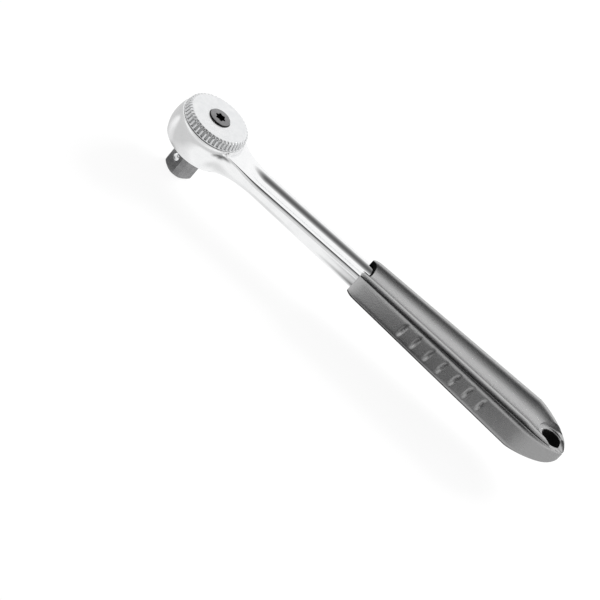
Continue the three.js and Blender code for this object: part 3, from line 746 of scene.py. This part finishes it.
def grip_section(u):
    """A quarter of the grip's outline at a station, from the trough's floor round to the panel's middle"""
    tail = tail_share(u)
    narrow = max(0.0, 1 - tail ** TAIL_OUTLINE_POWER) ** TAIL_OUTLINE_ROOT
    thin = 1 - TAIL_THINNING * tail ** TAIL_THINNING_POWER
    thin *= 1 - TAIL_TIP_THINNING * tail ** TAIL_TIP_POWER
    front = clamp01((u - GRIP_START) / FRONT_ROUND)
    drawn = 1 - sqrt(1 - (1 - front) ** 2)
    half = grip_size(u, "half_width") * narrow - FRONT_DRAW * drawn
    thick = grip_size(u, "thickness") * thin - FRONT_DROP * drawn
    ridge = grip_size(u, "ridge") * narrow - FRONT_DRAW * drawn * RIDGE_DRAW
    trough = grip_size(u, "trough") * thin
    crease_y = ridge + min(CREASE_OUT * narrow, half - ridge - CREASE_MARGIN * narrow)
    crease_z = thick - CREASE_DOWN * thin
    step = CREASE_DEPTH * (1 - tail)
    panel_top = crease_z - step
    bend = PANEL_ROUND * thin
    points = []
    bowl = 32
    for i in range(bowl):
        t = i / bowl
        points.append((ridge * t, thick - trough * (1 - trough_rise(t))))
    crown = 8
    for i in range(crown + 1):
        t = i / crown
        y = lerp(ridge, crease_y - CREASE_LIP * narrow, t)
        points.append((y, lerp(thick, crease_z + CREASE_LIP * thin, t * t)))
    points.append((crease_y, crease_z))
    points.append((crease_y - CREASE_WALL_IN * narrow, crease_z - CREASE_WALL_DOWN * step))
    points.append((crease_y - CREASE_UNDERCUT * narrow, panel_top + CREASE_FLOOR_UP * step))
    points.append((crease_y - CREASE_UNDERCUT * narrow, panel_top))
    turn = 10
    for i in range(turn + 1):
        angle = radians(90 * i / turn)
        points.append((lerp(crease_y, half, sin(angle)), panel_top - bend * (1 - cos(angle))))
    panel = 14
    low = points[-1][1]
    for i in range(1, panel + 1):
        points.append((half, low * (1 - i / panel)))
    return points


def groove_sink(u, z):
    """Depth of the finger grooves at a place on the side panel"""
    sink = 0.0
    lean = tan(radians(GROOVE_LEAN))
    for i in range(GROOVE_COUNT):
        centre = GRIP_START + GROOVE_START + GROOVE_PITCH * i
        share = (u - centre - z * lean) / (2 * GROOVE_HALF_WIDTH) + 0.5
        if 0 < share < 1:
            wedge = min(share / GROOVE_DEEPEST, (1 - share) / (1 - GROOVE_DEEPEST))
            sink = GROOVE_DEPTH * wedge * smooth((GROOVE_HALF_LENGTH - abs(z)) / GROOVE_FADE)
    return sink


def grip_loop(u):
    """The grip's whole outline at a station, mirrored from a quarter, with the finger grooves sunk in"""
    section = grip_section(u)
    side = section + [(y, -z) for y, z in reversed(section[:-1])]
    loop = side + [(-y, z) for y, z in reversed(side[1:-1])]
    points = []
    panel_from = grip_size(u, "ridge")
    for y, z in loop:
        sink = groove_sink(u, z) if abs(y) > panel_from else 0.0
        points.append((u, y - sink * (1 if y > 0 else -1), z + GRIP_MIDDLE))
    return points


def grip_stations():
    """Places along the grip, close together at its front, in its grooves and round its tail"""
    front = [GRIP_START + FRONT_ROUND * (1 - cos(pi / 2 * i / 12)) for i in range(12)]
    first = GRIP_START + GROOVE_START - GROOVE_APPROACH
    plain = front + [lerp(GRIP_START + FRONT_ROUND, first, i / 12) for i in range(13)]
    last = GRIP_START + GROOVE_START + GROOVE_PITCH * (GROOVE_COUNT - 1) + GROOVE_APPROACH
    fine_count = ceil((last - plain[-1]) / GROOVE_MESH)
    fine = [lerp(plain[-1], last, i / fine_count) for i in range(1, fine_count + 1)]
    rest = [lerp(last, TAIL_START, i / 10) for i in range(1, 11)]
    tail_steps = 48
    end = GRIP_HIGH[0]
    tail = [TAIL_START + (end - TAIL_START) * sin(pi / 2 * i / tail_steps) for i in range(1, tail_steps + 1)]
    return plain + fine + rest + tail


def grip_hull():
    return lofted([grip_loop(u) for u in grip_stations()], "grip_hull")


def shank_loop(u, grow):
    """The shank's outline at a station, grown by a clearance"""
    wide = neck_half_width(u) + grow
    top = shank_waist(u) + grow
    corner = [(wide, top - SHANK_EDGE), (wide - SHANK_EDGE, top)]
    upper = corner + [(-y, z) for y, z in reversed(corner)]
    outline = upper + [(y, -z) for y, z in reversed(upper)]
    return [(u, y, HANDLE_HEIGHT + z) for y, z in outline]


def bore_cutter():
    """Room inside the grip for the tang"""
    stations = [GRIP_START - MOUTH_OVERCUT, GRIP_START, TANG_END + SLEEVE_CLEARANCE]
    return lofted([shank_loop(u, SLEEVE_CLEARANCE) for u in stations], "bore_cutter")


def mouth_cutter(upward):
    """Crescent that cuts the trough's floor back on a slope, above or below the shank"""
    wide = grip_size(GRIP_START, "ridge") - MOUTH_EDGE
    high = grip_size(GRIP_START, "thickness") + 1
    low = shank_waist(GRIP_START) - CHANNEL_DEPTH
    slope = MOUTH_SLOPE / (high - 1 - low)
    steps = 32
    turns = [lerp(-pi / 2, pi / 2, i / steps) for i in range(steps + 1)]
    loops = []
    for z, reach in [(low, MOUTH_SET_BACK - MOUTH_SLOPE), (high, MOUTH_SET_BACK + slope)]:
        outline = [(GRIP_START + reach * cos(a), wide * sin(a)) for a in turns]
        outline += [(GRIP_START - MOUTH_OVERCUT, wide), (GRIP_START - MOUTH_OVERCUT, -wide)]
        loops.append([(x, y, GRIP_MIDDLE + upward * z) for x, y in outline])
    return lofted(loops, "mouth_cutter")


def hang_cutter():
    """The hang hole with a rounded lip at both mouths"""
    top = grip_section(HANG_X)[0][1]
    widest = HANG_RADIUS + HANG_LIP + 2
    quarter = arc_profile((HANG_RADIUS + HANG_LIP, -top + HANG_LIP_HEIGHT),
                          (HANG_LIP, HANG_LIP_HEIGHT + HANG_LIP_RISE), 270, 180, 8)
    lower = [(0, -top - HANG_OVERCUT), (widest, -top - HANG_OVERCUT), (widest, -top - HANG_LIP_RISE)]
    lower += quarter
    profile = lower + [(r, -z) for r, z in reversed(lower)]
    mesh = turned(profile, 96, "hang_cutter")
    mesh.transform(Matrix.Translation(Vector((HANG_X, 0, GRIP_MIDDLE)) * MM))
    return mesh


def grip_mesh():
    hull = grip_hull()
    hull.materials.append(grip_plastic)
    cutters = [bore_cutter(), mouth_cutter(1), mouth_cutter(-1), hang_cutter()]
    for cutter in cutters:
        # The cuts are lined with painted shade; the hang hole's rounded lip keeps the grip's plastic
        cutter.materials.append(bore_painted_shade)
    lip = cutters[-1]
    lip.materials.append(grip_plastic)
    for face in lip.polygons:
        away = hypot(face.center.x / MM - HANG_X, face.center.y / MM)
        face.material_index = 1 if away > HANG_RADIUS + HANG_WALL_MARGIN else 0
    return carve(hull, cutters)


piece("grip_moulding", grip_mesh(), grip_plastic, "handle", ["grip_sleeve"], 30)


# Dial
def knurl_radius(angle, level):
    """Radius of the straight knurl at an angle and a share of the knurled band, from 0 to 1"""
    turn = abs(angle * KNURL_COUNT / (2 * pi) % 1.0 - 0.5) * 2
    valley = smooth((turn - RIDGE_SHARE + RIDGE_SOFTNESS) / (2 * RIDGE_SOFTNESS))
    ridge_radius = DIAL_RADIUS - RIDGE_TAPER * level
    valley_radius = DIAL_RADIUS - lerp(KNURL_FOOT_DEPTH, VALLEY_TAPER, level)
    return lerp(ridge_radius, valley_radius, valley * smooth(level / KNURL_RUN_OUT))


def dial_mesh():
    """Crown of the dial: plain foot, knurled cone, chamfer, face and counterbore"""
    steps = KNURL_COUNT * 16
    angles = [2 * pi * i / steps for i in range(steps)]
    knurl_low = DIAL_BOTTOM + KNURL_FOOT
    knurl_high = DIAL_TOP - DIAL_CHAMFER_HEIGHT
    face_radius = DIAL_RADIUS - DIAL_FACE_INSET
    rows = []

    def ring(radius, z):
        rows.append([(radius * cos(a), radius * sin(a), z) for a in angles])

    ring(HUB_BORE, DIAL_BOTTOM)
    ring(DIAL_RADIUS - DIAL_FOOT_INSET, DIAL_BOTTOM)
    ring(DIAL_RADIUS, DIAL_BOTTOM + DIAL_FOOT_ROUND)
    bands = 16
    for i in range(bands + 1):
        level = i / bands
        z = lerp(knurl_low, knurl_high, level)
        reach = [knurl_radius(a, level) for a in angles]
        rows.append([(r * cos(a), r * sin(a), z) for r, a in zip(reach, angles)])
    chamfer = 6
    for i in range(1, chamfer + 1):
        t = i / chamfer
        reach = [lerp(knurl_radius(a, 1), face_radius, t) for a in angles]
        z = lerp(knurl_high, DIAL_TOP, 1 - (1 - t) ** DIAL_CHAMFER_POWER)
        rows.append([(r * cos(a), r * sin(a), z) for r, a in zip(reach, angles)])
    ring(face_radius - DIAL_FACE_EASE, DIAL_TOP)
    ring(COUNTERBORE_RADIUS + COUNTERBORE_CHAMFER, DIAL_TOP)
    ring(COUNTERBORE_RADIUS, DIAL_TOP - COUNTERBORE_CHAMFER)
    ring(COUNTERBORE_RADIUS, COUNTERBORE_FLOOR)
    ring(HUB_BORE, COUNTERBORE_FLOOR)
    ring(HUB_BORE, DIAL_BOTTOM)
    patches = Patches()
    patches.grid(rows, closed=True)
    mesh = patches.mesh("dial_crown")
    mesh.materials.append(satin)
    mesh.materials.append(satin_valley_shade)
    # Painted shade: faces deep in the knurl's valleys take the darker satin
    for face in mesh.polygons:
        x, y, z = face.center / MM
        level = (z - knurl_low) / (knurl_high - knurl_low)
        middle = DIAL_RADIUS - lerp(KNURL_FOOT_DEPTH, RIDGE_TAPER + VALLEY_TAPER, level) / 2
        in_valley = 0 < level < 1 and COUNTERBORE_RADIUS + 1 < hypot(x, y) < middle
        face.material_index = 1 if in_valley else 0
    return mesh


def cad_copy(node, height, above):
    """The part of a node's mesh above or below a height, copied from the frame"""
    bm = bmesh.new()
    bm.from_mesh(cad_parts[node].data)
    for face in bm.faces:
        face.material_index = 0
    bmesh.ops.remove_doubles(bm, verts=bm.verts, dist=0.0005 * MM)
    cut = bmesh.ops.bisect_plane(bm, geom=bm.verts[:] + bm.edges[:] + bm.faces[:], dist=1e-8,
                                 plane_co=(0, 0, height * MM), plane_no=(0, 0, 1),
                                 clear_inner=above, clear_outer=not above)
    edges = [g for g in cut["geom_cut"] if isinstance(g, bmesh.types.BMEdge)]
    bmesh.ops.holes_fill(bm, edges=edges)
    mesh = bpy.data.meshes.new(node + "_copy")
    bm.to_mesh(mesh)
    bm.free()
    return mesh


piece("dial_crown", dial_mesh(), satin, "dial", ["reversing_dial"], 24)
hub = cad_copy("reversing_dial", DIAL_BOTTOM, False)
piece("dial_hub", hub, satin, "dial", ["reversing_dial"])


# Screw
def screw_mesh():
    """Head of the screw with its six-lobed recess"""
    steps = 144
    angles = [2 * pi * i / steps for i in range(steps)]

    def circle(radius, z):
        return [(radius * cos(a), radius * sin(a), z) for a in angles]

    def lobes(grow, z):
        reach = [LOBE_RADIUS + grow + LOBE_SWELL * cos(LOBE_COUNT * a) for a in angles]
        return [(r * cos(a), r * sin(a), z) for r, a in zip(reach, angles)]

    floor = SCREW_TOP - LOBE_DEPTH
    edge_foot = SCREW_TOP - SCREW_CHAMFER
    edge = arc_profile((SCREW_RADIUS - SCREW_CHAMFER, edge_foot), (SCREW_CHAMFER, SCREW_CHAMFER), 90, 0, 6)
    rows = [circle(POINT, floor - LOBE_CONE), lobes(-LOBE_FOOT, floor), lobes(0, floor + LOBE_FOOT)]
    rows += [lobes(0, SCREW_TOP - LOBE_CHAMFER), lobes(LOBE_CHAMFER, SCREW_TOP)]
    rows += [circle(r, z) for r, z in edge]
    rows += [circle(SCREW_RADIUS, SCREW_HEAD_BOTTOM), circle(POINT, SCREW_HEAD_BOTTOM)]
    patches = Patches()
    patches.grid(rows, closed=True)
    mesh = patches.mesh("screw_head", 0.002)
    mesh.materials.append(black_steel)
    mesh.materials.append(black_steel_shade)
    # The up-facing top keeps the black steel; the side and the lobed recess take the painted shade
    for face in mesh.polygons:
        on_top = face.normal.z > 0.5 and face.center.z > edge_foot * MM
        face.material_index = 0 if on_top else 1
    return mesh


piece("screw_head", screw_mesh(), black_steel, "spindle", ["dial_screw"], 30)
screw_shank = cad_copy("dial_screw", SCREW_HEAD_BOTTOM, False)
piece("screw_shank", screw_shank, black_steel, "spindle", ["dial_screw"])


# Drive square and ball
def square_reach(degrees):
    """Distance from the axis to the square's wall, its corners broken by flats with soft edges"""
    angle = radians((degrees - SQUARE_TURN + 45) % 90 - 45)
    flat = SQUARE_HALF / cos(angle)
    corner = SQUARE_CORNER / cos(radians(45) - abs(angle))
    share = clamp01(0.5 + 0.5 * (corner - flat) / CORNER_BLEND)
    return lerp(corner, flat, share) - CORNER_BLEND * share * (1 - share) * 0.25


def drive_mesh():
    """The drive square from its rounded nose up to the collar, before the ball's seat is cut"""
    steps = 360
    degrees = [360 * i / steps for i in range(steps)]
    rows = []

    def row(envelope, z):
        reach = [min(square_reach(d), envelope) for d in degrees]
        rows.append([polar(r, d, z) for r, d in zip(reach, degrees)])

    row(POINT, 0)
    row(NOSE_RADIUS * 0.5, 0)
    turns = 18
    for i in range(turns + 1):
        angle = radians(90 * i / turns)
        row(lerp(NOSE_RADIUS, SQUARE_WIDEST, sin(angle)), NOSE_ROUND * (1 - cos(angle)))
    levels = 30
    for i in range(1, levels + 1):
        row(SQUARE_WIDEST, lerp(NOSE_ROUND, SQUARE_TOP, i / levels))
    row(POINT, SQUARE_TOP)
    patches = Patches()
    patches.grid(rows, closed=True)
    return patches.mesh("drive_square", 0.002)


def ball_centre():
    return Vector([(a + b) / 2 for a, b in zip(BALL_LOW, BALL_HIGH)])


def ball_seat_cutter():
    """Room for the ball, with a staked rim at its mouth"""
    ball = ball_centre()
    out = Vector((ball.x, ball.y, 0)).normalized()
    bore = BALL_RADIUS + BALL_CLEARANCE
    lip = BALL_MOUTH + BALL_LIP
    face = SQUARE_HALF - ball.xy.length
    profile = [(0, -BALL_RADIUS - 1), (bore, -BALL_RADIUS - 1), (bore, BALL_STAKE_FOOT)]
    profile += [(BALL_MOUTH, BALL_STAKE_TOP), (BALL_MOUTH, face - BALL_LIP_DEPTH)]
    profile += [(lip, face + BALL_CLEARANCE), (lip + BALL_CLEARANCE, BALL_SEAT_OUT), (0, BALL_SEAT_OUT)]
    mesh = turned(profile, 64, "ball_seat")
    turn = Vector((0, 0, 1)).rotation_difference(out).to_matrix().to_4x4()
    mesh.transform(Matrix.Translation(ball * MM) @ turn)
    return mesh


def ball_mesh():
    bm = bmesh.new()
    bmesh.ops.create_icosphere(bm, subdivisions=5, radius=BALL_RADIUS * MM)
    bmesh.ops.translate(bm, verts=bm.verts, vec=ball_centre() * MM)
    mesh = bpy.data.meshes.new("drive_ball")
    bm.to_mesh(mesh)
    bm.free()
    return mesh


drive_blank = drive_mesh()
seat_cutter = ball_seat_cutter()
for blank in [drive_blank, seat_cutter]:
    blank.materials.append(burnished)
square = carve(drive_blank, [seat_cutter])
piece("drive_square", square, burnished, "spindle", ["drive_spindle"], 30)
carrier = cad_copy("drive_spindle", SQUARE_TOP, True)
piece("pawl_carrier", carrier, burnished, "spindle", ["drive_spindle"])
piece("spring_ball", ball_mesh(), ball_steel, "ball", ["drive_ball"], 60)


# Inner pieces keep the frame's own meshes
INNER = {
    plain_steel: ["pawl_a", "pawl_b", "pawl_pin_a", "pawl_pin_b",
                  "plunger_a", "plunger_b", "cover_plate", "thrust_washer"],
    spring_steel: ["plunger_spring_a", "plunger_spring_b", "ball_spring", "spring_washer", "retaining_ring"],
    seal_rubber: ["spindle_seal"],
}
for finish, nodes in INNER.items():
    for node in nodes:
        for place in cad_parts[node].material_slots:
            place.material = finish


# Camera
def add_camera():
    data = bpy.data.cameras.new("photo_camera")
    data.lens = CAMERA_LENS
    data.clip_end = 10
    camera = bpy.data.objects.new("photo_camera", data)
    bpy.context.scene.collection.objects.link(camera)
    level = cos(CAMERA_ELEVATION)
    back = Vector((sin(CAMERA_AZIMUTH) * level, -cos(CAMERA_AZIMUTH) * level, sin(CAMERA_ELEVATION)))
    right = Vector((cos(CAMERA_AZIMUTH), sin(CAMERA_AZIMUTH), 0))
    up = back.cross(right)
    side = right * cos(CAMERA_ROLL) + up * sin(CAMERA_ROLL)
    top = up * cos(CAMERA_ROLL) - right * sin(CAMERA_ROLL)
    turn = Matrix((side, top, back)).transposed().to_4x4()
    camera.matrix_world = Matrix.Translation((CAMERA_TARGET + back * CAMERA_DISTANCE) * MM) @ turn
    bpy.context.scene.camera = camera


# Surroundings
def add_world():
    """A white studio with a dark ceiling that leans to the front"""
    world = bpy.data.worlds.new("studio")
    bpy.context.scene.world = world
    world.use_nodes = True
    tree = world.node_tree
    studio = tree.nodes["Background"]
    place = tree.nodes.new("ShaderNodeTexCoord")
    lean = tree.nodes.new("ShaderNodeVectorMath")
    lean.operation = "DOT_PRODUCT"
    lean.inputs[1].default_value = Vector(DARK_DIRECTION).normalized()
    tree.links.new(place.outputs["Generated"], lean.inputs[0])
    share = spread(tree, lean.outputs["Value"], 0, 1, cos(radians(DARK_OUTER)), cos(radians(DARK_INNER)))
    tree.links.new(tint(tree, share, [STUDIO_BRIGHT] * 3, [STUDIO_DARK] * 3), studio.inputs["Color"])


def add_softbox(name, place, target, size, brightness):
    """A soft lamp whose face has a set brightness, where 1 is white"""
    data = bpy.data.lights.new(name, "AREA")
    data.shape = "RECTANGLE"
    data.size, data.size_y = size
    data.energy = brightness * pi * size[0] * size[1]
    lamp = bpy.data.objects.new(name, data)
    bpy.context.scene.collection.objects.link(lamp)
    lamp.visible_glossy = False
    lamp.location = Vector(place)
    lamp.rotation_euler = (Vector(target) - Vector(place)).to_track_quat("-Z", "Y").to_euler()


def pool(tree, centre, size, edge):
    """A soft-edged pool of painted light or painted shade on the floor, 1 inside and 0 outside, in
    millimetres
    """
    place = tree.nodes.new("ShaderNodeTexCoord")
    mapping = tree.nodes.new("ShaderNodeMapping")
    mapping.vector_type = "TEXTURE"
    mapping.inputs["Location"].default_value = (centre[0] * MM, centre[1] * MM, 0)
    mapping.inputs["Scale"].default_value = (2 * size[0] * MM, 2 * size[1] * MM, 1)
    fall = tree.nodes.new("ShaderNodeTexGradient")
    fall.gradient_type = "SPHERICAL"
    tree.links.new(place.outputs["Object"], mapping.inputs["Vector"])
    tree.links.new(mapping.outputs["Vector"], fall.inputs["Vector"])
    return spread(tree, fall.outputs["Fac"], 0, 1, 0.5 - edge, 0.5 + edge)


def join_values(tree, operation, first, second):
    node = tree.nodes.new("ShaderNodeMath")
    node.operation = operation
    tree.links.new(first, node.inputs[0])
    tree.links.new(second, node.inputs[1])
    return node.outputs[0]


def mix_shaders(tree, share, first, second):
    mix = tree.nodes.new("ShaderNodeMixShader")
    tree.links.new(share, mix.inputs["Fac"])
    tree.links.new(first, mix.inputs[1])
    tree.links.new(second, mix.inputs[2])
    return mix.outputs["Shader"]


def add_floor():
    """A pale floor, white with a shadow for the camera, and for reflections a glowing floor with painted
    pools of light and painted shade
    """
    mesh = bpy.data.meshes.new("floor")
    corners = [(-FLOOR_SPAN, -FLOOR_SPAN, 0), (FLOOR_SPAN, -FLOOR_SPAN, 0),
               (FLOOR_SPAN, FLOOR_SPAN, 0), (-FLOOR_SPAN, FLOOR_SPAN, 0)]
    mesh.from_pydata(corners, [], [(0, 1, 2, 3)])
    floor = bpy.data.objects.new("floor", mesh)
    floor.location.z = FLOOR_DROP * MM
    bpy.context.scene.collection.objects.link(floor)
    material, tree, plain = new_material("white_floor", [FLOOR_COLOUR] * 3, 0.0, FLOOR_ROUGHNESS)
    plain.inputs["Specular IOR Level"].default_value = 0.0
    shown = tree.nodes.new("ShaderNodeBsdfPrincipled")
    shown.inputs["Base Color"].default_value = (FLOOR_SHADE, FLOOR_SHADE, FLOOR_SHADE, 1)
    shown.inputs["Roughness"].default_value = FLOOR_ROUGHNESS
    shown.inputs["Specular IOR Level"].default_value = 0.0
    shown.inputs["Emission Color"].default_value = (1, 1, 1, 1)
    shown.inputs["Emission Strength"].default_value = FLOOR_GLOW
    reflected = tree.nodes.new("ShaderNodeEmission")
    # Painted light: brighter pools in what reflections see of the floor
    light = join_values(tree, "MAXIMUM", pool(tree, *FRONT_POOL), pool(tree, *LEFT_POOL))
    tree.links.new(tint(tree, light, [POOL_OUTSIDE] * 3, [1.0] * 3), reflected.inputs["Color"])
    # Painted shade: darker pools by the grip, its grooves, the drive and the neck, seen only in reflections
    shade = join_values(tree, "MAXIMUM", pool(tree, *GRIP_SHADE), pool(tree, *DRIVE_SHADE))
    strength = spread(tree, shade, 1, SHADE_INSIDE, 0, 1)
    for place, inside in [(NECK_SHADE, NECK_SHADE_INSIDE), (GROOVE_SHADE, GROOVE_SHADE_INSIDE)]:
        strength = join_values(tree, "MULTIPLY", strength, spread(tree, pool(tree, *place), 1, inside, 0, 1))
    tree.links.new(strength, reflected.inputs["Strength"])
    path = tree.nodes.new("ShaderNodeLightPath")
    mirrored = join_values(tree, "MAXIMUM", path.outputs["Is Glossy Ray"],
                           path.outputs["Is Transmission Ray"])
    surface = mix_shaders(tree, mirrored, plain.outputs["BSDF"], reflected.outputs["Emission"])
    surface = mix_shaders(tree, path.outputs["Is Camera Ray"], surface, shown.outputs["BSDF"])
    tree.links.new(surface, tree.nodes["Material Output"].inputs["Surface"])
    mesh.materials.append(material)


add_camera()
add_world()
add_floor()
for lamp_name, lamp_values in SOFTBOXES.items():
    add_softbox(lamp_name, *lamp_values)
bpy.context.scene.view_settings.view_transform = "Standard"
